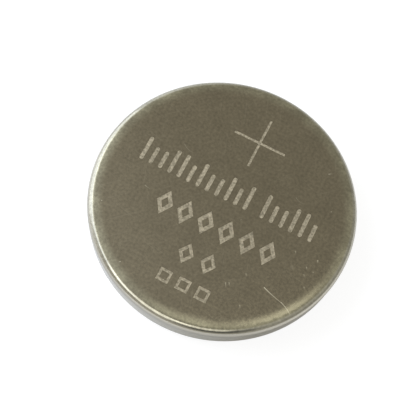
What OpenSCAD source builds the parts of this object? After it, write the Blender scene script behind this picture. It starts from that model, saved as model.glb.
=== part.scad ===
// Round lithium coin cell, 20 mm across and 3.2 mm high.
// It stands on its negative face, at z = 0, with the positive face up.
// Can, seal and cap are turned about the Z axis from sections of constant sheet thickness.

/* [Cell] */
// Outside diameter of the can
cell_d = 20; // [16:0.5:24]
// Height from the negative face to the positive face
cell_h = 3.2; // [2.5:0.1:5]

/* [Positive can] */
// Sheet thickness of the can
can_t = 0.25; // [0.2:0.01:0.3]
// Distance from the wall in to the bend where the positive face starts to fall away
border_w = 0.85; // [0.8:0.05:1.2]
// Slope of that border, in degrees
border_fall = 6; // [2:1:10]
// Length over which the flat face bends into the border, on each side of the bend
border_blend = 0.28; // [0.1:0.02:0.34]
// Outer radius of the corner between the border and the wall
corner_r = 0.55; // [0.35:0.05:0.6]
// Angle through which the lip is rolled in over the seal, in degrees
crimp_angle = 70; // [55:5:80]
// Straight end of the lip, past the roll
lip_l = 0.1; // [0.05:0.05:0.2]

/* [Negative cap] */
// Sheet thickness of the cap
cap_t = 0.25; // [0.2:0.01:0.3]
// Height of the shoulder's underside over the negative face
shoulder_h = 0.75; // [0.7:0.05:0.8]
// Width of the shoulder, from the neck out to the rim
shoulder_w = 0.55; // [0.5:0.05:0.9]
// Outer radius where the shoulder turns up into the rim
shoulder_r = 0.4; // [0.3:0.05:0.45]
// Outer radius at the edge of the negative face
cap_edge_r = 0.4; // [0.3:0.05:0.6]
// Radius in the angle between neck and shoulder
neck_fillet = 0.08; // [0.05:0.01:0.1]

/* [Seal] */
// Wall thickness of the seal, squeezed between can and cap
seal_t = 0.35; // [0.3:0.01:0.4]
// Width of the foot that the cap's rim stands on
foot_w = 1.4; // [0.8:0.1:1.6]
// Gap left between the seal's end and the neck of the cap
seal_gap = 0.1; // [0.1:0.05:0.2]
// Radius at the seal's visible edge
seal_edge_r = 0.12; // [0.05:0.01:0.15]

/* [Anode] */
// Thickness of the lithium disc
anode_t = 0.6; // [0.4:0.05:0.8]
// Gap between the lithium disc and the inside of the neck
anode_gap = 0.8; // [0.5:0.1:1.5]

/* [Separator] */
// Thickness of the felt
separator_t = 0.2; // [0.1:0.05:0.3]
// Height of the turned-up rim, over the felt's underside
separator_rim_h = 0.8; // [0.5:0.1:1.2]
// Outer radius at the foot of that rim
separator_bend_r = 0.3; // [0.3:0.05:0.5]
// Gap between the rim of the felt and the cathode pellet
separator_gap = 0.15; // [0.05:0.05:0.3]

/* [Cathode] */
// Gap between the pellet and the foot of the seal
pellet_gap = 0.35; // [0.3:0.05:0.8]
// Radius at the pellet's edges
pellet_edge_r = 0.12; // [0.05:0.01:0.3]

/* [Collector] */
// Thickness of the expanded-metal disc
collector_t = 0.1; // [0.05:0.05:0.2]
// Distance that the disc stays inside the pellet's edge
collector_margin = 0.4; // [0.2:0.1:1]
// Length of one diamond of the mesh, from knot to knot
diamond_l = 2.4; // [2:0.2:4]
// Height of one diamond, from knot to knot
diamond_h = 1.2; // [1:0.1:2]
// Width of the strands between the diamonds
strand_w = 0.2; // [0.15:0.05:0.3]
// Width of the unbroken edge round the mesh
collector_edge_w = 0.25; // [0.2:0.05:0.5]

/* [Hidden] */
$fn = 128;
// Largest turn between two points of an arc in a section, in degrees
arc_step = 9;
// Fewest straight pieces in any arc of a section
arc_pieces = 3;

// Radii from the axis, from the can inwards
can_r = cell_d / 2;
can_inner_r = can_r - can_t;
rim_r = can_inner_r - seal_t;
neck_r = rim_r - shoulder_w;
foot_r = can_inner_r - foot_w;
pellet_r = foot_r - pellet_gap;
separator_r = pellet_r + separator_gap + separator_t;
anode_r = neck_r - cap_t - anode_gap;
collector_r = pellet_r - collector_margin;

// Heights of the stack, from the cap up to the can
anode_z = cap_t;
separator_z = anode_z + anode_t;
pellet_z = separator_z + separator_t;
collector_z = cell_h - can_t - collector_t;

// The roll of the lip, the seal and the shoulder of the cap share one centre
crimp_r = shoulder_r + seal_t + can_t;
crimp_z = shoulder_h + shoulder_r;
crimp_tangent = crimp_r * tan(crimp_angle / 2);
lip_dir = [-sin(crimp_angle), -cos(crimp_angle)];
border_r = border_blend / tan(border_fall / 2);

// A section's path is a list of [x, z, bend radius], with x measured from the axis
function at(p) = [p[0], p[1]];
function unit(v) = v / norm(v);
function left_of(v) = [-v[1], v[0]];
function cross_2d(a, b) = a[0] * b[1] - a[1] * b[0];
function reversed(list) = [for (i = [len(list) - 1 : -1 : 0]) list[i]];

// Points of the arc that rounds the corner v between p and n
function arc(p, v, n, r) =
    let (
        back = unit(p - v),
        on = unit(n - v),
        half = acos(back * on) / 2,
        centre = v + unit(back + on) * r / sin(half),
        start = v + back * r / tan(half) - centre,
        sweep = (180 - 2 * half) * sign(cross_2d(v - p, n - v)),
        pieces = max(arc_pieces, ceil(abs(sweep) / arc_step))
    )
    [for (i = [0 : pieces])
        let (a = sweep * i / pieces)
        centre + [start[0] * cos(a) - start[1] * sin(a), start[0] * sin(a) + start[1] * cos(a)]];

// Points of a path with its bends as arcs
function rounded(path) =
    [for (i = [0 : len(path) - 1])
        let (bend = i > 0 && i < len(path) - 1 && path[i][2] > 0)
        each (bend ? arc(at(path[i - 1]), at(path[i]), at(path[i + 1]), path[i][2]) : [at(path[i])])];

// The path that runs a distance t to the left of another, with its bends about the same centres
function offset_path(path, t) =
    [for (i = [0 : len(path) - 1])
        let (
            a = unit(at(path[max(i, 1)]) - at(path[max(i, 1) - 1])),
            b = unit(at(path[min(i + 1, len(path) - 1)]) - at(path[min(i + 1, len(path) - 1) - 1])),
            shift = (left_of(a) + left_of(b)) * t / (1 + a * b),
            bend = path[i][2] == 0 ? 0 : max(0, path[i][2] - sign(cross_2d(a, b)) * t)
        )
        [path[i][0] + shift[0], path[i][1] + shift[1], bend]];

// Outside of the can, from the axis over the positive face and down to the lip
can_path = [
    [0, cell_h, 0],
    [can_r - border_w, cell_h, border_r],
    [can_r, cell_h - border_w * tan(border_fall), corner_r],
    [can_r, crimp_z - crimp_tangent, crimp_r],
    [
        can_r + lip_dir[0] * (crimp_tangent + lip_l),
        crimp_z - crimp_tangent + lip_dir[1] * (crimp_tangent + lip_l),
        0
    ]
];
can_inside = offset_path(can_path, -can_t);
foot_z = can_inside[2][1] - seal_t;

// Outside of the cap, from the axis along the negative face, up the neck and out to the rim
cap_path = [
    [0, 0, 0],
    [neck_r, 0, cap_edge_r],
    [neck_r, shoulder_h, neck_fillet],
    [rim_r, shoulder_h, shoulder_r],
    [rim_r, foot_z, 0]
];

// Round the seal: along the inside of the can, back over the outside of the cap, and along the foot
seal_end_r = neck_r + seal_gap;
seal_end_z = can_inside[3][1] + (can_inside[3][0] - seal_end_r) * lip_dir[1] / -lip_dir[0];
seal_path = [
    [foot_r, can_inside[1][1], 0],
    can_inside[1],
    can_inside[2],
    can_inside[3],
    [seal_end_r, seal_end_z, seal_edge_r],
    [seal_end_r, shoulder_h, 0],
    [rim_r, shoulder_h, shoulder_r],
    [rim_r, foot_z, 0],
    [foot_r, foot_z, 0]
];

separator_path = [
    [0, separator_z, 0],
    [separator_r, separator_z, separator_bend_r],
    [separator_r, separator_z + separator_rim_h, 0]
];

// Section of a sheet that lies to the left of its path
module sheet_section(path, t) {
    polygon(concat(rounded(path), reversed(rounded(offset_path(path, t)))));
}

// Drawn steel cup, with its open end rolled in over the seal
module positive_can() {
    color([0.43, 0.4, 0.33])
        rotate_extrude()
            sheet_section(can_path, -can_t);
}

// Drawn steel cap: a dish with a stepped shoulder, whose rim stands on the foot of the seal
module negative_cap() {
    color([0.66, 0.65, 0.62])
        rotate_extrude()
            sheet_section(cap_path, cap_t);
}

// Polypropylene ring that keeps can and cap apart and closes the cell
module seal_ring() {
    color([0.86, 0.86, 0.82])
        rotate_extrude()
            polygon(rounded(seal_path));
}

// Lithium disc, pressed onto the inside of the cap
module lithium_anode() {
    color([0.78, 0.79, 0.8])
        translate([0, 0, anode_z])
            cylinder(r = anode_r, h = anode_t);
}

// Felt disc with a turned-up rim, which keeps the pellet away from the lithium and the cap
module separator() {
    color([0.95, 0.95, 0.92])
        rotate_extrude()
            sheet_section(separator_path, separator_t);
}

// Pressed pellet of manganese dioxide and carbon
module cathode_pellet() {
    color([0.1, 0.1, 0.1])
        rotate_extrude()
            polygon(rounded([
                [0, pellet_z, 0],
                [pellet_r, pellet_z, pellet_edge_r],
                [pellet_r, collector_z, pellet_edge_r],
                [0, collector_z, 0]
            ]));
}

// Centres of the diamonds that lie wholly inside the edge of the collector
function diamond_centres(half_l, half_h, reach) =
    let (columns = ceil(reach / (diamond_l / 2)), rows = ceil(reach / (diamond_h / 2)))
    [for (i = [-columns : columns], j = [-rows : rows])
        let (x = i * diamond_l / 2, y = j * diamond_h / 2)
        if ((i + j) % 2 == 0
            && norm([abs(x) + half_l, y]) < reach
            && norm([x, abs(y) + half_h]) < reach)
            [x, y]];

// Disc of expanded steel mesh between the pellet and the can
module cathode_collector() {
    side_distance = diamond_l * diamond_h / 2 / norm([diamond_l, diamond_h]);
    open_share = 1 - strand_w / 2 / side_distance;
    half_l = diamond_l / 2 * open_share;
    half_h = diamond_h / 2 * open_share;
    color([0.6, 0.6, 0.6])
        translate([0, 0, collector_z])
            linear_extrude(height = collector_t)
                difference() {
                    circle(r = collector_r);
                    for (c = diamond_centres(half_l, half_h, collector_r - collector_edge_w))
                        translate(c)
                            polygon([[half_l, 0], [0, half_h], [-half_l, 0], [0, -half_h]]);
                }
}

positive_can();
negative_cap();
seal_ring();
lithium_anode();
separator();
cathode_pellet();
cathode_collector();
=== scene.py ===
from math import atan, cos, pi, radians, sin, tan

import bmesh
import bpy
from mathutils import Matrix, Vector


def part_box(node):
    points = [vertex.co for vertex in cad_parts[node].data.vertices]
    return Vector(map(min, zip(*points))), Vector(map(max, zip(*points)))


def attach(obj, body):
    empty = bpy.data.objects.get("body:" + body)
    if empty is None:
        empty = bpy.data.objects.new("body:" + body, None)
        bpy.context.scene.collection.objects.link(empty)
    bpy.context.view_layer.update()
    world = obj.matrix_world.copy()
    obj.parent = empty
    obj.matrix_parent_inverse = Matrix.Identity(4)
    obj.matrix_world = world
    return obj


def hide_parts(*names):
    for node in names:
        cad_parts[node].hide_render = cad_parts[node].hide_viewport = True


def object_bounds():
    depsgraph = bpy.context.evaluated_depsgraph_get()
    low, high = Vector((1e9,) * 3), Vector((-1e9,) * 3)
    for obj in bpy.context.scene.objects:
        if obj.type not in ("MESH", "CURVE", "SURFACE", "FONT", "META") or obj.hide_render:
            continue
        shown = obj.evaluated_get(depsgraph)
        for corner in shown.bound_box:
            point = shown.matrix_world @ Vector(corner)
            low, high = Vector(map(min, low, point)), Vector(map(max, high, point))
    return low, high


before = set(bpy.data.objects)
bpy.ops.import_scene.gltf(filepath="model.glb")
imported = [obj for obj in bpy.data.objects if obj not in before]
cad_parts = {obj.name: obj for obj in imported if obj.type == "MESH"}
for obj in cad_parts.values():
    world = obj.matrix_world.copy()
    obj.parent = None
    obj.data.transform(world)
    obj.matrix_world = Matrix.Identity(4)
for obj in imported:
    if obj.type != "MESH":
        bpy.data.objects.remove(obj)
cad_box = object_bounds()


# Negative cap
# A dish drawn from nickel-plated steel sheet, with a stepped shoulder between its neck and its rim.
# Its floor is the negative contact, on which the cell stands, and keeps the plain satin of the plating.
MM = 0.001
TURNED_STEPS = 320
BEND_PIECES = 10
SHARP_ANGLE = radians(35)
LEVEL_NORMAL_Z = 0.99999
SAME_PLACE = 0.0005 * MM
SAME_LEVEL = 0.001 * MM
NOISE_DETAIL = 3.0
NOISE_SPAN = (0.3, 0.7)
sheet_t = 0.25 * MM
cut_edge_angle = radians(60)
cut_edge_bevel = 0.03 * MM
cap_low, cap_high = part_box("negative_cap")
cap_rim_r = cap_high[0]
cap_shoulder_w = 0.55 * MM
cap_neck_r = cap_rim_r - cap_shoulder_w
cap_shoulder_z = 0.75 * MM
cap_shoulder_r = 0.4 * MM
cap_edge_r = 0.4 * MM
cap_fillet_r = 0.08 * MM
cap_floor_margin = 1.0 * MM
cap_floor_r = cap_neck_r - cap_floor_margin
cap_colour = (168, 165, 154)
bare_nickel = (200, 197, 184)
hairline_turns = (radians(12), radians(71), radians(-43))
hairline_peaks = (0.74, 0.8)
hairline_gap = 0.05 * MM
hairline_l = 3 * MM
cap_hairlines = 0.4


def node(tree, kind, inputs=None, **settings):
    """A shader node whose inputs are values, or outputs of other nodes."""
    new = tree.nodes.new(kind)
    for name, value in settings.items():
        setattr(new, name, value)
    for place, value in (inputs or {}).items():
        if isinstance(value, bpy.types.NodeSocket):
            tree.links.new(value, new.inputs[place])
        else:
            new.inputs[place].default_value = value
    return new


def number(tree, operation, *values):
    return node(tree, "ShaderNodeMath", dict(enumerate(values)), operation=operation).outputs[0]


def vector(tree, operation, *values, output=0):
    return node(tree, "ShaderNodeVectorMath", dict(enumerate(values)), operation=operation).outputs[output]


def rescaled(tree, value, old_low, old_high, new_low, new_high, smooth=False):
    """A value moved from one span to another, and held inside it."""
    inputs = dict(enumerate((value, old_low, old_high, new_low, new_high)))
    kind = "SMOOTHSTEP" if smooth else "LINEAR"
    return node(tree, "ShaderNodeMapRange", inputs, interpolation_type=kind).outputs[0]


def mixed(tree, share, first, second, blend="MIX"):
    """A colour between two others; ShaderNodeMix has its colour inputs at 6 and 7."""
    inputs = {0: share, 6: first, 7: second}
    return node(tree, "ShaderNodeMix", inputs, data_type="RGBA", blend_type=blend).outputs[2]


def shaded(tree, colour, level):
    """A colour made darker or brighter by a number about 1."""
    grey = node(tree, "ShaderNodeCombineColor", {0: level, 1: level, 2: level}).outputs[0]
    return mixed(tree, 1.0, colour, grey, blend="MULTIPLY")


def srgb(red, green, blue):
    """A colour as a picture shows it, from 0 to 255, as the linear colour that a shader takes."""
    def linear(part):
        part /= 255
        return part / 12.92 if part <= 0.04045 else ((part + 0.055) / 1.055) ** 2.4
    return (linear(red), linear(green), linear(blue), 1)


def new_group(name, inputs, outputs):
    """An empty shader group, its input node and its output node."""
    group = bpy.data.node_groups.new(name, "ShaderNodeTree")
    for direction, sockets in (("INPUT", inputs), ("OUTPUT", outputs)):
        for socket, kind in sockets.items():
            group.interface.new_socket(socket, in_out=direction, socket_type="NodeSocket" + kind)
    return group, group.nodes.new("NodeGroupInput"), group.nodes.new("NodeGroupOutput")


def placed_group(tree, group, **inputs):
    """A shader group inside another tree; the inputs' names have _ for a space."""
    named = {name.replace("_", " "): value for name, value in inputs.items()}
    return node(tree, "ShaderNodeGroup", named, node_tree=group).outputs


def new_material(name, **principled):
    """A material with one Principled BSDF, its tree, and the point on the piece."""
    material = bpy.data.materials.new(name)
    material.use_nodes = True
    tree = material.node_tree
    shader = tree.nodes["Principled BSDF"]
    for socket, value in principled.items():
        shader.inputs[socket.replace("_", " ")].default_value = value
    place = node(tree, "ShaderNodeTexCoord").outputs["Object"]
    return material, tree, shader, place


def dress(tree, shader, colour, roughness, height, relief):
    """The shader takes its colour and its roughness, and a height that the relief, in metres, scales."""
    bump = node(tree, "ShaderNodeBump", {"Strength": 1.0, "Distance": relief, "Height": height})
    tree.links.new(colour, shader.inputs["Base Color"])
    tree.links.new(roughness, shader.inputs["Roughness"])
    tree.links.new(bump.outputs[0], shader.inputs["Normal"])


def satin_grain_group():
    """The fine mottle of a matt surface, and the broader clouds that handling leaves on it."""
    group, given, result = new_group(
        "satin_grain",
        {"Place": "Vector", "Grain Size": "Float", "Cloud Size": "Float"},
        {"Grain": "Float", "Clouds": "Float"},
    )
    for size, output in (("Grain Size", "Grain"), ("Cloud Size", "Clouds")):
        scale = number(group, "DIVIDE", 1.0, given.outputs[size])
        noise = node(group, "ShaderNodeTexNoise",
                     {"Vector": given.outputs["Place"], "Scale": scale, "Detail": NOISE_DETAIL})
        value = rescaled(group, noise.outputs["Fac"], *NOISE_SPAN, 0, 1)
        group.links.new(value, result.inputs[output])
    return group


def hairline_group():
    """Faint hairlines in a few directions, as sliding over other things leaves them."""
    group, given, result = new_group(
        "hairlines",
        {"Place": "Vector", "Spacing": "Float", "Length": "Float"},
        {"Lines": "Float"},
    )
    across = number(group, "DIVIDE", 1.0, given.outputs["Spacing"])
    along = number(group, "DIVIDE", 1.0, given.outputs["Length"])
    squeeze = node(group, "ShaderNodeCombineXYZ", {0: along, 1: across, 2: along}).outputs[0]
    lines = 0.0
    for turn in hairline_turns:
        turned = node(group, "ShaderNodeVectorRotate", {"Vector": given.outputs["Place"], "Angle": turn},
                      rotation_type="Z_AXIS").outputs[0]
        noise = node(group, "ShaderNodeTexNoise",
                     {"Vector": vector(group, "MULTIPLY", turned, squeeze), "Scale": 1.0, "Detail": 0.0})
        peaks = rescaled(group, noise.outputs["Fac"], *hairline_peaks, 0, 1)
        lines = number(group, "MAXIMUM", lines, peaks)
    group.links.new(lines, result.inputs["Lines"])
    return group


def wire_section(bm, corners):
    """The edges of a section in the XZ plane. A corner is [r, z, bend radius]."""
    verts = [bm.verts.new((r, 0, z)) for r, z, bend in corners]
    for start, end in zip(verts, verts[1:]):
        bm.edges.new((start, end))
    for vert, (r, z, bend) in zip(verts, corners):
        if bend:
            first, second = (edge.other_vert(vert).co - vert.co for edge in vert.link_edges)
            reach = bend * tan((pi - first.angle(second)) / 2)
            bmesh.ops.bevel(bm, geom=[vert], affect="VERTICES", offset=reach, offset_type="OFFSET",
                            segments=BEND_PIECES, profile=0.5, material=-1)


def drawn_cup(corners):
    """A cup of sheet metal: its outer skin, turned and closed with a flat floor, is given its thickness."""
    bm = bmesh.new()
    wire_section(bm, corners)
    bmesh.ops.spin(bm, geom=bm.verts[:] + bm.edges[:], cent=(0, 0, 0), axis=(0, 0, 1), dvec=(0, 0, 0),
                   angle=2 * pi, steps=TURNED_STEPS, use_merge=True)
    bmesh.ops.remove_doubles(bm, verts=bm.verts, dist=SAME_PLACE)
    floor_z = corners[0][1]
    floor_edge = [edge for edge in bm.edges
                  if edge.is_boundary and all(abs(vert.co.z - floor_z) < SAME_LEVEL for vert in edge.verts)]
    bmesh.ops.edgeloop_fill(bm, edges=floor_edge)
    bmesh.ops.recalc_face_normals(bm, faces=bm.faces)
    bmesh.ops.solidify(bm, geom=bm.faces, thickness=sheet_t)
    cut_edges = [edge for edge in bm.edges if edge.calc_face_angle(0) > cut_edge_angle]
    bmesh.ops.bevel(bm, geom=cut_edges, affect="EDGES", offset=cut_edge_bevel, offset_type="OFFSET",
                    segments=2, profile=0.5, material=-1)
    return bm


def shade(bm):
    """Smooth bends, flat floors, and sharp edges where faces meet at an angle."""
    for face in bm.faces:
        face.smooth = abs(face.normal.z) < LEVEL_NORMAL_Z
    for edge in bm.edges:
        edge.smooth = edge.calc_face_angle(0) < SHARP_ANGLE


def finish_piece(name, bm, materials, cad_node):
    """The mesh as a piece of the cell that stands for a CAD node."""
    shade(bm)
    mesh = bpy.data.meshes.new(name)
    bm.to_mesh(mesh)
    bm.free()
    for material in materials:
        mesh.materials.append(material)
    piece = bpy.data.objects.new(name, mesh)
    bpy.context.collection.objects.link(piece)
    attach(piece, "root")
    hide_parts(cad_node)
    return piece


satin_grain = satin_grain_group()
hairlines = hairline_group()


def mottle(tree, satin, grain, clouds):
    """A number about 1, which the fine mottle and the clouds change by a share each."""
    fine = rescaled(tree, satin["Grain"], 0, 1, 1 - grain, 1 + grain)
    broad = rescaled(tree, satin["Clouds"], 0, 1, 1 - clouds, 1 + clouds)
    return number(tree, "MULTIPLY", fine, broad)


def cap_plating():
    """Satin nickel: a fine mottle in colour and gloss, clouds from handling, and hairlines."""
    material, tree, shader, place = new_material("cap_plating", Metallic=1.0)
    satin = placed_group(tree, satin_grain, Place=place, Grain_Size=0.13 * MM, Cloud_Size=2.5 * MM)
    lines = placed_group(tree, hairlines, Place=place, Spacing=hairline_gap, Length=hairline_l)["Lines"]
    plated = shaded(tree, srgb(*cap_colour), mottle(tree, satin, grain=0.08, clouds=0.06))
    colour = mixed(tree, number(tree, "MULTIPLY", lines, cap_hairlines), plated, srgb(*bare_nickel))
    dress(tree, shader, colour, roughness=rescaled(tree, satin["Grain"], 0, 1, 0.26, 0.34),
          height=satin["Grain"], relief=0.001 * MM)
    return material


cap_bm = drawn_cup([
    [cap_floor_r, cap_low[2], 0],
    [cap_neck_r, cap_low[2], cap_edge_r],
    [cap_neck_r, cap_shoulder_z, cap_fillet_r],
    [cap_rim_r, cap_shoulder_z, cap_shoulder_r],
    [cap_rim_r, cap_high[2], 0],
])
finish_piece("stepped_cap", cap_bm, [cap_plating()], "negative_cap")


# Lithium disc
# Soft lithium, rolled to a strip, punched out and pressed onto the inside of the cap.
# Its bright surface has dulled, and shows the rolling marks along the strip.
lithium_colour = (196, 198, 200)
tarnish_colour = (138, 138, 146)
rolling_stretch = (0.04, 1.0, 0.04)
full_tarnish = 0.6


def rolled_lithium():
    material, tree, shader, place = new_material("rolled_lithium", Metallic=1.0)
    strip = vector(tree, "MULTIPLY", place, rolling_stretch)
    rolled = placed_group(tree, satin_grain, Place=strip, Grain_Size=0.15 * MM, Cloud_Size=0.6 * MM)
    dulled = placed_group(tree, satin_grain, Place=place, Grain_Size=0.4 * MM, Cloud_Size=3 * MM)
    dull = number(tree, "MULTIPLY", rescaled(tree, dulled["Clouds"], 0.35, 1, 0, full_tarnish),
                  rescaled(tree, rolled["Clouds"], 0, 1, 0.5, 1))
    colour = mixed(tree, dull, srgb(*lithium_colour), srgb(*tarnish_colour))
    dress(tree, shader, colour, roughness=rescaled(tree, dull, 0, full_tarnish, 0.35, 0.6),
          height=rolled["Grain"], relief=0.004 * MM)
    return material


def dress_node(cad_node, material):
    """A CAD node whose form is right keeps its mesh and takes a better finish."""
    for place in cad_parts[cad_node].material_slots:
        place.material = material


dress_node("lithium_anode", rolled_lithium())


# Separator
# A felt of fine polypropylene fibres, pressed to a disc with a turned-up rim, and laid on the lithium.
# It is soaked with electrolyte, and its fibres lie in all directions.
felt_colour = (240, 239, 230)
felt_shadow = (205, 204, 194)
felt_between_fibres = 0.7


def soaked_felt():
    material, tree, shader, place = new_material("soaked_felt", Sheen_Weight=0.2)
    fibres = placed_group(tree, hairlines, Place=place, Spacing=0.012 * MM, Length=0.35 * MM)["Lines"]
    felt = placed_group(tree, satin_grain, Place=place, Grain_Size=0.05 * MM, Cloud_Size=0.9 * MM)
    depth = number(tree, "MAXIMUM", fibres, number(tree, "MULTIPLY", felt["Grain"], felt_between_fibres))
    colour = mixed(tree, depth, srgb(*felt_shadow), srgb(*felt_colour))
    dress(tree, shader, colour, roughness=rescaled(tree, felt["Clouds"], 0, 1, 0.55, 0.85),
          height=depth, relief=0.02 * MM)
    return material


dress_node("separator", soaked_felt())


# Cathode pellet
# Manganese dioxide mixed with graphite and a binder, and pressed in a die to a hard pellet.
# It is matt and nearly black, with a grey glint where graphite was rubbed by the die.
powder_colour = (30, 29, 29)
graphite_colour = (92, 92, 94)


def pressed_powder():
    material, tree, shader, place = new_material("pressed_powder")
    powder = placed_group(tree, satin_grain, Place=place, Grain_Size=0.06 * MM, Cloud_Size=1.2 * MM)
    glint = number(tree, "MULTIPLY", rescaled(tree, powder["Grain"], 0.7, 1, 0, 1),
                   rescaled(tree, powder["Clouds"], 0.3, 1, 0.1, 0.7))
    colour = mixed(tree, glint, srgb(*powder_colour), srgb(*graphite_colour))
    dress(tree, shader, colour, roughness=rescaled(tree, glint, 0, 1, 0.85, 0.45),
          height=powder["Grain"], relief=0.012 * MM)
    return material


dress_node("cathode_pellet", pressed_powder())


# Cathode collector
# Stainless steel foil, slit and stretched to a mesh of diamonds, and welded inside the can's floor.
# The strands are bright, with traces of the black mix that was pressed against them.
mesh_steel = (172, 172, 168)
mix_traces = (70, 69, 68)
most_traces = 0.7


def stretched_steel():
    material, tree, shader, place = new_material("stretched_steel", Metallic=1.0)
    steel = placed_group(tree, satin_grain, Place=place, Grain_Size=0.09 * MM, Cloud_Size=0.8 * MM)
    traces = rescaled(tree, steel["Clouds"], 0.6, 1, 0, most_traces)
    colour = mixed(tree, traces, srgb(*mesh_steel), srgb(*mix_traces))
    dress(tree, shader, colour, roughness=rescaled(tree, traces, 0, most_traces, 0.28, 0.7),
          height=steel["Grain"], relief=0.002 * MM)
    return material


dress_node("cathode_collector", stretched_steel())


# Seal ring
# Natural polypropylene, moulded as a ring with a J-shaped section, and squeezed between can and cap.
# Only its outer edge shows, on the underside, as a pale waxy line round the cap.
seal_t = 0.35 * MM
seal_colour = (222, 222, 212)
seal_shadow = (196, 196, 184)


def natural_polypropylene():
    material, tree, shader, place = new_material("natural_polypropylene", Subsurface_Weight=0.15,
                                                 Subsurface_Scale=0.3 * MM)
    moulded = placed_group(tree, satin_grain, Place=place, Grain_Size=0.08 * MM, Cloud_Size=1.1 * MM)
    colour = mixed(tree, moulded["Clouds"], srgb(*seal_shadow), srgb(*seal_colour))
    dress(tree, shader, colour, roughness=rescaled(tree, moulded["Grain"], 0, 1, 0.35, 0.5),
          height=moulded["Grain"], relief=0.003 * MM)
    return material


dress_node("seal_ring", natural_polypropylene())


# Positive can
# A cup drawn from nickel-plated stainless sheet. Its floor is the marked face, satin and grey-brown; its
# border and shoulder are coloured paler, the die left its wall smooth, and its lip is rolled in over the
# seal. The turn between shoulder and wall is painted paler than the wall, a painted reflection of the lit
# table that it mirrors.
cell_low, cell_high = cad_box
can_r = cell_high[0]
face_z = cell_high[2]
border_w = 0.85 * MM
border_fall = radians(6)
border_blend = 0.28 * MM
border_bend_r = border_blend / tan(border_fall / 2)
face_flat_margin = 0.5 * MM
face_flat_r = can_r - border_w - face_flat_margin
corner_r = 0.55 * MM
corner_z = face_z - border_w * tan(border_fall)
# The lip is rolled about the centre of the cap's shoulder, with the seal between them
crimp_r = cap_shoulder_r + seal_t + sheet_t
crimp_z = cap_shoulder_z + cap_shoulder_r
crimp_angle = radians(70)
crimp_reach = crimp_r * tan(crimp_angle / 2)
crimp_corner_z = crimp_z - crimp_reach
lip_straight_l = 0.1 * MM
lip_l = crimp_reach + lip_straight_l
lip_end = [can_r - lip_l * sin(crimp_angle), crimp_corner_z - lip_l * cos(crimp_angle)]

can_bm = drawn_cup([
    [face_flat_r, face_z, 0],
    [can_r - border_w, face_z, border_bend_r],
    [can_r, corner_z, corner_r],
    [can_r, crimp_corner_z, crimp_r],
    [*lip_end, 0],
])


def lengthened(tree, direction, factor):
    """A vector made longer or shorter."""
    return node(tree, "ShaderNodeVectorMath", {0: direction, "Scale": factor}, operation="SCALE").outputs[0]


def soft_spot(tree, distance, reach, core):
    """1 within the core, which is a share of the reach, and fading to 0 at the reach."""
    return rescaled(tree, number(tree, "DIVIDE", distance, reach), core, 1, 1, 0, smooth=True)


def scratch_group():
    """One scratch along a slightly bowed line, widest and brightest at its start."""
    group, given, result = new_group(
        "scratch",
        {"Place": "Vector", "Start": "Vector", "End": "Vector", "Width": "Float", "Bow": "Float"},
        {"Mask": "Float"},
    )
    start = given.outputs["Start"]
    run = vector(group, "SUBTRACT", given.outputs["End"], start)
    here = vector(group, "SUBTRACT", vector(group, "MULTIPLY", given.outputs["Place"], (1, 1, 0)), start)
    run_squared = vector(group, "DOT_PRODUCT", run, run, output=1)
    share = number(group, "DIVIDE", vector(group, "DOT_PRODUCT", here, run, output=1), run_squared)
    share = rescaled(group, share, 0, 1, 0, 1)
    # The bow is 4 s (1 - s), which is 0 at both ends and 1 halfway
    remaining = number(group, "SUBTRACT", 1.0, share)
    arch = number(group, "MULTIPLY", number(group, "MULTIPLY", share, remaining), 4.0)
    sideways = vector(group, "NORMALIZE", vector(group, "CROSS_PRODUCT", run, (0, 0, 1)))
    bow = lengthened(group, sideways, number(group, "MULTIPLY", arch, given.outputs["Bow"]))
    nearest = vector(group, "ADD", lengthened(group, run, share), bow)
    distance = vector(group, "DISTANCE", here, nearest, output=1)
    half_width = number(group, "MULTIPLY", given.outputs["Width"], rescaled(group, share, 0, 1, 0.5, 0.25))
    fading = rescaled(group, share, 0, 1, 1, 0.45)
    mask = number(group, "MULTIPLY", soft_spot(group, distance, half_width, core=0.4), fading)
    group.links.new(mask, result.inputs["Mask"])
    return group


def nick_group():
    """Small bright nicks scattered over a surface."""
    group, given, result = new_group(
        "nicks",
        {"Place": "Vector", "Spacing": "Float", "Size": "Float", "Share": "Float"},
        {"Mask": "Float"},
    )
    scale = number(group, "DIVIDE", 1.0, given.outputs["Spacing"])
    cells = node(group, "ShaderNodeTexVoronoi", {"Vector": given.outputs["Place"], "Scale": scale})
    size = number(group, "DIVIDE", given.outputs["Size"], given.outputs["Spacing"])
    dot = soft_spot(group, cells.outputs["Distance"], size, core=0.3)
    pick = node(group, "ShaderNodeSeparateColor", {0: cells.outputs["Color"]}).outputs[0]
    chosen = number(group, "LESS_THAN", pick, given.outputs["Share"])
    group.links.new(number(group, "MULTIPLY", dot, chosen), result.inputs["Mask"])
    return group


scratch = scratch_group()
nicks = nick_group()
face_colour = (135, 127, 108)
border_colour = (164, 160, 137)
border_dull = (142, 137, 117)
shoulder_colour = (165, 162, 148)
# Painted reflection: the turn between shoulder and wall is coloured paler than the wall, for the lit table
# it mirrors
turn_reflection_colour = (199, 194, 180)
wall_colour = (164, 159, 143)
scratch_colour = (226, 220, 198)
# Levels and radii between which one finish, or the painted reflection on the turn, passes into the next
face_levels = (face_z - 0.07 * MM, face_z - 0.04 * MM)
shoulder_levels = (face_z - 0.27 * MM, face_z - 0.14 * MM)
turn_reflection_levels = (face_z - 0.58 * MM, face_z - 0.38 * MM)
border_radii = (can_r - 1.35 * MM, can_r - 0.4 * MM)
# Fine lines that the die left round the wall, and a broad band round it that is palest 2.12 mm up and
# repeats every 0.96 mm
die_line_stretch = (0.02, 0.02, 1.0)
die_line_w = 0.32 * MM
die_line_span = (0.34, 0.66)
die_line_tones = (0.66, 1.1)
band_level = 2.12 * MM
band_pitch = 0.96 * MM
band_tones = (0.94, 1.04)
face_gloss = (0.14, 0.2)
wall_gloss = (0.13, 0.19)
face_hairlines = 0.08
nick_strength = 0.5
wear_depth = 3.0
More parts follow.
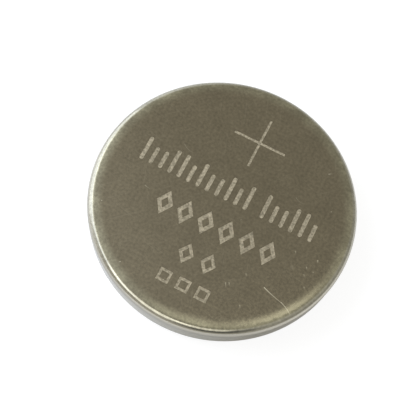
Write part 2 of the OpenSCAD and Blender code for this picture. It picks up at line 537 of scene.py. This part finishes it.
# Each row is a scratch on the face, in mm: its start, its end, its width, its bow, and its strength
scratches = [
    ((5.43, -4.61), (7.10, -5.07), 0.10, 0.03, 0.85),
    ((6.95, -5.03), (7.93, -5.55), 0.09, -0.04, 0.75),
    ((6.05, 5.60), (6.20, 5.72), 0.14, 0.0, 0.5),
    ((-4.60, 2.62), (-3.70, 2.30), 0.07, 0.10, 0.3),
    ((4.60, 2.72), (5.30, 2.50), 0.07, 0.08, 0.3),
    ((-5.65, -1.72), (-5.20, -1.80), 0.08, 0.0, 0.4),
    ((8.02, -1.00), (8.08, -1.12), 0.14, 0.0, 0.6),
    ((7.50, -1.83), (7.58, -1.95), 0.14, 0.0, 0.45),
    ((7.56, -2.42), (7.64, -2.54), 0.13, 0.0, 0.35),
    ((7.94, -3.26), (8.01, -3.38), 0.13, 0.0, 0.4),
    ((6.30, -1.12), (6.38, -1.24), 0.14, 0.0, 0.4),
    ((6.54, -2.30), (6.70, -2.44), 0.34, 0.0, 0.12),
    ((2.84, -5.58), (2.98, -5.82), 0.12, 0.0, 0.5),
    ((3.06, -5.46), (3.16, -5.62), 0.12, 0.0, 0.45),
    ((3.84, -4.30), (3.94, -4.44), 0.13, 0.0, 0.35),
    ((4.44, -6.58), (4.54, -6.72), 0.14, 0.0, 0.35),
    ((-4.46, -7.66), (-4.54, -7.74), 0.12, 0.0, 0.5),
]


def face_wear(tree, place):
    """Where scratches, nicks and hairlines show the bare metal."""
    wear = 0.0
    for start, end, width, bow, strength in scratches:
        mask = placed_group(tree, scratch, Place=place, Start=(start[0] * MM, start[1] * MM, 0),
                            End=(end[0] * MM, end[1] * MM, 0), Width=width * MM, Bow=bow * MM)["Mask"]
        wear = number(tree, "MAXIMUM", wear, number(tree, "MULTIPLY", mask, strength))
    dots = placed_group(tree, nicks, Place=place, Spacing=0.8 * MM, Size=0.06 * MM, Share=0.28)["Mask"]
    wear = number(tree, "MAXIMUM", wear, number(tree, "MULTIPLY", dots, nick_strength))
    lines = placed_group(tree, hairlines, Place=place, Spacing=hairline_gap, Length=hairline_l)["Lines"]
    return number(tree, "MAXIMUM", wear, number(tree, "MULTIPLY", lines, face_hairlines))


def can_plating():
    """Satin nickel: grey-brown on the face, paler on border and shoulder, smooth on the wall, and a painted
    reflection on the turn.
    """
    material, tree, shader, place = new_material("can_plating", Metallic=1.0)
    satin = placed_group(tree, satin_grain, Place=place, Grain_Size=0.2 * MM, Cloud_Size=1.6 * MM)
    level = node(tree, "ShaderNodeSeparateXYZ", {0: place}).outputs[2]
    radius = vector(tree, "LENGTH", vector(tree, "MULTIPLY", place, (1, 1, 0)), output=1)
    on_face = rescaled(tree, level, *face_levels, 0, 1, smooth=True)
    on_wall = rescaled(tree, level, *shoulder_levels, 1, 0, smooth=True)
    # Where the painted reflection on the turn shows
    on_turn_reflection = rescaled(tree, level, *turn_reflection_levels, 0, 1, smooth=True)
    on_border = rescaled(tree, radius, *border_radii, 0, 1, smooth=True)
    wear = number(tree, "MULTIPLY", face_wear(tree, place), on_face)

    stretched = vector(tree, "MULTIPLY", place, die_line_stretch)
    die_lines = node(tree, "ShaderNodeTexNoise",
                     {"Vector": stretched, "Scale": 1 / die_line_w, "Detail": NOISE_DETAIL}).outputs["Fac"]
    band_turn = number(tree, "MULTIPLY", number(tree, "SUBTRACT", level, band_level), 2 * pi / band_pitch)
    band = rescaled(tree, number(tree, "COSINE", band_turn), -1, 1, *band_tones)
    streaks = number(tree, "MULTIPLY", rescaled(tree, die_lines, *die_line_span, *die_line_tones), band)
    # The wall's colour, and above it the turn painted paler as a painted reflection of the lit table
    wall = mixed(tree, on_turn_reflection, srgb(*wall_colour), srgb(*turn_reflection_colour))
    wall = shaded(tree, wall, streaks)

    border = mixed(tree, satin["Clouds"], srgb(*border_dull), srgb(*border_colour))
    face = mixed(tree, on_border, srgb(*face_colour), border)
    face = mixed(tree, on_face, srgb(*shoulder_colour), face)
    face = shaded(tree, face, mottle(tree, satin, grain=0.14, clouds=0.06))
    colour = mixed(tree, wear, mixed(tree, on_wall, face, wall), srgb(*scratch_colour))
    roughness = node(tree, "ShaderNodeMix", {
        0: on_face,
        2: rescaled(tree, die_lines, *NOISE_SPAN, *wall_gloss),
        3: rescaled(tree, satin["Grain"], 0, 1, *face_gloss),
    }).outputs[0]
    height = number(tree, "SUBTRACT", number(tree, "MULTIPLY", satin["Grain"], on_face),
                    number(tree, "MULTIPLY", wear, wear_depth))
    dress(tree, shader, colour, roughness, height, relief=0.0008 * MM)
    return material


# Face marks
# A plus sign and rows of plain bars, diamonds and squares, burnt a few micrometres into the plated face
# by a laser. The burnt metal is paler than the plating and rough, so it looks alike from all sides.
BAR_END_SIDES = 16
burn_depth = 0.012 * MM
cutter_h = 3 * burn_depth
# A face of the can whose middle lies between these levels is in a mark
burnt_levels = (face_z - 1.5 * burn_depth, face_z - 0.25 * burn_depth)
burn_colour = (185, 174, 149)
burn_shadow = (112, 104, 85)
# The marks are laid out in mm
plus_centre, plus_l, plus_stroke = (0.36, 5.40), 4.2, 0.19
# Two rows of bars on the line y = 0, each by the x of its first bar and its number of bars
bar_rows = [(-6.95, 12), (2.95, 6)]
bar_stroke, bar_pitch = 0.32, 0.775
bar_tall, bar_short = 2.0, 1.45
# Rows of hollow figures, each by the x and y of its first one, its pitch, its number of figures,
# their width and height, their stroke and their turn
figure_rows = [
    (-3.75, -2.2, 1.66, 6, 1.3, 2.0, 0.3, 0),
    (-0.62, -4.93, 1.75, 2, 1.2, 1.65, 0.24, 0),
    (-1.25, -7.1, 1.5, 3, 0.95, 0.95, 0.2, pi / 4),
]


def burnt_bar(bm, x, low, high, width):
    """An upright stroke with round ends."""
    turned = Matrix.Rotation(pi / BAR_END_SIDES, 3, "Z")
    made = bmesh.ops.create_circle(bm, cap_ends=True, segments=BAR_END_SIDES, radius=width / 2)["verts"]
    bmesh.ops.rotate(bm, verts=made, matrix=turned)
    upper = [vert for vert in made if vert.co.y > 0]
    bmesh.ops.translate(bm, verts=upper, vec=(0, high - low - width, 0))
    bmesh.ops.translate(bm, verts=made, vec=(x, low + width / 2, 0))


def burnt_figure(bm, x, y, width, height, stroke, turn):
    """A hollow figure with four straight sides: a diamond, or turned by 45 degrees a square."""
    made = bmesh.ops.create_circle(bm, cap_ends=True, segments=4, radius=1)["verts"]
    bmesh.ops.rotate(bm, verts=made, matrix=Matrix.Rotation(turn, 3, "Z"))
    reach = max(vert.co.x for vert in made)
    bmesh.ops.scale(bm, verts=made, vec=(width / 2 / reach, height / 2 / reach, 1))
    bmesh.ops.translate(bm, verts=made, vec=(x, y, 0))
    inside = made[0].link_faces[0]
    bmesh.ops.inset_region(bm, faces=[inside], thickness=stroke, use_boundary=True, use_even_offset=True)
    bmesh.ops.delete(bm, geom=[inside], context="FACES")


def burnt_plus(bm, x, y, length, stroke):
    """A plus sign, as a grid of nine fields without its corners."""
    made = bmesh.ops.create_grid(bm, x_segments=3, y_segments=3, size=1)["verts"]
    for vert in made:
        for axis in (0, 1):
            reach = length / 2 if abs(vert.co[axis]) > 0.5 else stroke / 2
            vert.co[axis] = reach if vert.co[axis] > 0 else -reach
    corners = {face for vert in made for face in vert.link_faces
               if min(abs(part) for part in face.calc_center_median()[:2]) > stroke / 2}
    bmesh.ops.delete(bm, geom=list(corners), context="FACES")
    bmesh.ops.translate(bm, verts=[vert for vert in made if vert.is_valid], vec=(x, y, 0))


marks_bm = bmesh.new()
burnt_plus(marks_bm, *plus_centre, plus_l, plus_stroke)
for first_x, count in bar_rows:
    for index in range(count):
        # Every third bar is tall, and now and then one between
        tall = index % 3 == 0 or index % 7 == 4
        burnt_bar(marks_bm, first_x + index * bar_pitch, 0, bar_tall if tall else bar_short, bar_stroke)
for first_x, y, pitch, count, *figure in figure_rows:
    for index in range(count):
        burnt_figure(marks_bm, first_x + index * pitch, y, *figure)
bmesh.ops.scale(marks_bm, verts=marks_bm.verts, vec=(MM, MM, MM))
bmesh.ops.translate(marks_bm, verts=marks_bm.verts, vec=(0, 0, face_z - burn_depth))
for face in marks_bm.faces:
    if face.normal.z < 0:
        face.normal_flip()
bmesh.ops.solidify(marks_bm, geom=marks_bm.faces, thickness=-cutter_h)
bmesh.ops.recalc_face_normals(marks_bm, faces=marks_bm.faces)


def burnt_metal():
    material, tree, shader, place = new_material("burnt_metal", Metallic=0.35)
    pulses = placed_group(tree, satin_grain, Place=place, Grain_Size=0.15 * MM, Cloud_Size=0.6 * MM)
    share = number(tree, "MULTIPLY", pulses["Grain"], rescaled(tree, pulses["Clouds"], 0, 1, 0.7, 1))
    colour = mixed(tree, share, srgb(*burn_shadow), srgb(*burn_colour))
    dress(tree, shader, colour, roughness=rescaled(tree, pulses["Grain"], 0, 1, 0.6, 0.75),
          height=pulses["Grain"], relief=0.004 * MM)
    return material


def cut_out(piece, cutter_bm):
    """The piece with a cutter's solids taken out of it, as a plain mesh."""
    cutter_mesh = bpy.data.meshes.new("cutter")
    cutter_bm.to_mesh(cutter_mesh)
    cutter_bm.free()
    cutter = bpy.data.objects.new("cutter", cutter_mesh)
    bpy.context.collection.objects.link(cutter)
    cut = piece.modifiers.new("cut", "BOOLEAN")
    cut.operation, cut.solver, cut.object = "DIFFERENCE", "EXACT", cutter
    evaluated = piece.evaluated_get(bpy.context.evaluated_depsgraph_get())
    piece.data = bpy.data.meshes.new_from_object(evaluated)
    piece.modifiers.remove(cut)
    bpy.data.objects.remove(cutter)


positive_can = finish_piece("crimped_can", can_bm, [can_plating(), burnt_metal()], "positive_can")
cut_out(positive_can, marks_bm)
burnt = bmesh.new()
burnt.from_mesh(positive_can.data)
for face in burnt.faces:
    middle = face.calc_center_median()
    in_a_mark = burnt_levels[0] < middle.z < burnt_levels[1] and middle.xy.length < face_flat_r
    face.material_index = int(in_a_mark)
shade(burnt)
burnt.to_mesh(positive_can.data)
burnt.free()


# Studio
# The photograph's camera, and a pale table top in a pale room that is dim in front. Soft panels are seen
# only in the metal, and one key lamp at the left lights what is matt.
camera_azimuth = radians(12.0)
camera_elevation = radians(69.0)
camera_distance = 60 * MM
camera_roll = radians(13.05)
aim_right, aim_up = -0.838 * MM, -0.416 * MM
picture_half_px, focal_px = 210, 798.0

cell_centre = Vector((0, 0, (cell_low[2] + cell_high[2]) / 2))
upward = Vector((0, 0, 1))
to_right = Vector((cos(camera_azimuth), sin(camera_azimuth), 0))
away = upward.cross(to_right)
back = upward * sin(camera_elevation) - away * cos(camera_elevation)
spot = cell_centre + camera_distance * back
aim = cell_centre + aim_right * to_right + aim_up * back.cross(to_right)
camera_data = bpy.data.cameras.new("camera")
camera_data.angle = 2 * atan(picture_half_px / focal_px)
camera_data.clip_start = 1 * MM
camera = bpy.data.objects.new("camera", camera_data)
bpy.context.collection.objects.link(camera)
bpy.context.scene.camera = camera


def facing(place, target):
    """The place and turn of a camera or lamp at place that looks at target."""
    return Matrix.Translation(place) @ (place - target).to_track_quat("Z", "Y").to_matrix().to_4x4()


camera.matrix_world = facing(spot, aim) @ Matrix.Rotation(camera_roll, 4, "Z")


def towards(azimuth, elevation):
    """A direction by azimuth, in degrees from straight away from the camera to its right, and elevation."""
    level = sin(radians(azimuth)) * to_right + cos(radians(azimuth)) * away
    return cos(radians(elevation)) * level + sin(radians(elevation)) * upward


daylight = (0.93, 1.0, 1.15)
ceiling_light = (1.0, 0.99, 0.96)
room_light = (1.0, 0.98, 0.9)
room_tint = (1.0, 0.975, 0.88)


def soft_panel(name, direction, width, height, radiance, colour, distance=250 * MM, mirrored=True):
    """A lamp panel that faces the cell. At radiance 1 it looks as bright as white paper in full light.
    A mirrored panel is seen in the metal and lights nothing matt, and any other does the opposite."""
    data = bpy.data.lights.new(name, "AREA")
    data.shape = "RECTANGLE"
    data.size, data.size_y = width, height
    data.energy = radiance * pi * width * height
    data.color = colour
    lamp = bpy.data.objects.new(name, data)
    bpy.context.collection.objects.link(lamp)
    lamp.visible_camera = False
    lamp.visible_glossy = mirrored
    lamp.visible_diffuse = not mirrored
    lamp.matrix_world = facing(cell_centre + distance * direction, cell_centre)


soft_panel("window_left", towards(-68, 25), 84 * MM, 66 * MM, 1.0, daylight, distance=85 * MM)
soft_panel("window_top", towards(-92, 53), 300 * MM, 80 * MM, 1.3, daylight)
soft_panel("panel_over_left", towards(-144, 51.5), 170 * MM, 134 * MM, 1.45, ceiling_light)
soft_panel("panel_overhead", towards(171, 53), 96 * MM, 110 * MM, 1.05, room_light)
soft_panel("strip_away", towards(0, 88.5), 60 * MM, 44 * MM, 0.4, room_light)
soft_panel("strip_right", towards(61, 75), 28 * MM, 52 * MM, 1.05, room_light)
soft_panel("key_on_table", towards(-80, 35), 90 * MM, 90 * MM, 4.7, daylight,
           distance=100 * MM, mirrored=False)

left_wall_tone, right_wall_tone = 0.576, 0.365
foot_glow, foot_glow_top = 0.16, 0.75
front_tone = 0.15
world = bpy.data.worlds.new("room")
bpy.context.scene.world = world
world.use_nodes = True
room = world.node_tree
direction = node(room, "ShaderNodeTexCoord").outputs["Generated"]


def glow(target, outer, inner, strength=1.0):
    """Light of that strength within the inner angle of a direction, fading to none at the outer one."""
    closeness = vector(room, "DOT_PRODUCT", direction, tuple(target), output=1)
    share = rescaled(room, closeness, cos(radians(outer)), cos(radians(inner)), 0, 1, smooth=True)
    return number(room, "MULTIPLY", share, strength)


def total(tree, first, *others):
    for other in others:
        first = number(tree, "ADD", first, other)
    return first


rightward = vector(room, "DOT_PRODUCT", direction, tuple(to_right), output=1)
rising = node(room, "ShaderNodeSeparateXYZ", {0: direction}).outputs[2]
walls = rescaled(room, rightward, -1, 1, left_wall_tone, right_wall_tone)
wall_foot = rescaled(room, rising, 0, foot_glow_top, foot_glow, 0)
right_wall = glow(towards(98, 57), 34, 14, 0.3)
left_wall = glow(towards(-62, 8), 60, 25, 0.85)
window = glow(towards(-74, 60), 30, 8, 0.44)
ceiling = glow(towards(-30, 80), 16, 4, 0.09)
dim_front = rescaled(room, glow(towards(166, 34), 26, 8), 0, 1, 1, front_tone)
pale = number(room, "MULTIPLY", total(room, walls, wall_foot, right_wall), dim_front)
cool = total(room, left_wall, window, ceiling)
lit = mixed(room, 1.0, shaded(room, (*room_tint, 1), pale), shaded(room, (*daylight, 1), cool), blend="ADD")


def background_share(tree, to_camera, mirrored):
    """How much of the plain background shows to the camera, and in what mirrors or lets light through."""
    ray = node(tree, "ShaderNodeLightPath").outputs
    glossy = number(tree, "MAXIMUM", ray["Is Glossy Ray"], ray["Is Transmission Ray"])
    return number(tree, "MAXIMUM", number(tree, "MULTIPLY", ray["Is Camera Ray"], to_camera),
                  number(tree, "MULTIPLY", glossy, mirrored))


plain_white = (1, 1, 1, 1)
backdrop = mixed(room, background_share(room, to_camera=1.0, mirrored=0.15), lit, plain_white)
room.links.new(backdrop, room.nodes["Background"].inputs["Color"])

table_half = 1.5
table_gap = 0.01 * MM
table_paint_colour = (0.85, 0.85, 0.85, 1)
table_white = 1.12
table_bm = bmesh.new()
table = bmesh.ops.create_grid(table_bm, x_segments=1, y_segments=1, size=table_half)["verts"]
bmesh.ops.translate(table_bm, verts=table, vec=(0, 0, -table_gap))
table_mesh = bpy.data.meshes.new("table_top")
table_bm.to_mesh(table_mesh)
table_bm.free()
table_top = bpy.data.objects.new("table_top", table_mesh)
bpy.context.collection.objects.link(table_top)
table_paint, tree, shader, place = new_material("table_paint", Base_Color=table_paint_colour, Roughness=0.9,
                                                Specular_IOR_Level=0.0)
white = node(tree, "ShaderNodeEmission", {"Color": plain_white, "Strength": table_white})
share = background_share(tree, to_camera=0.8, mirrored=0.12)
seen = node(tree, "ShaderNodeMixShader", {0: share, 1: shader.outputs[0], 2: white.outputs[0]})
tree.links.new(seen.outputs[0], tree.nodes["Material Output"].inputs["Surface"])
table_mesh.materials.append(table_paint)

bpy.context.scene.view_settings.view_transform = "Standard"
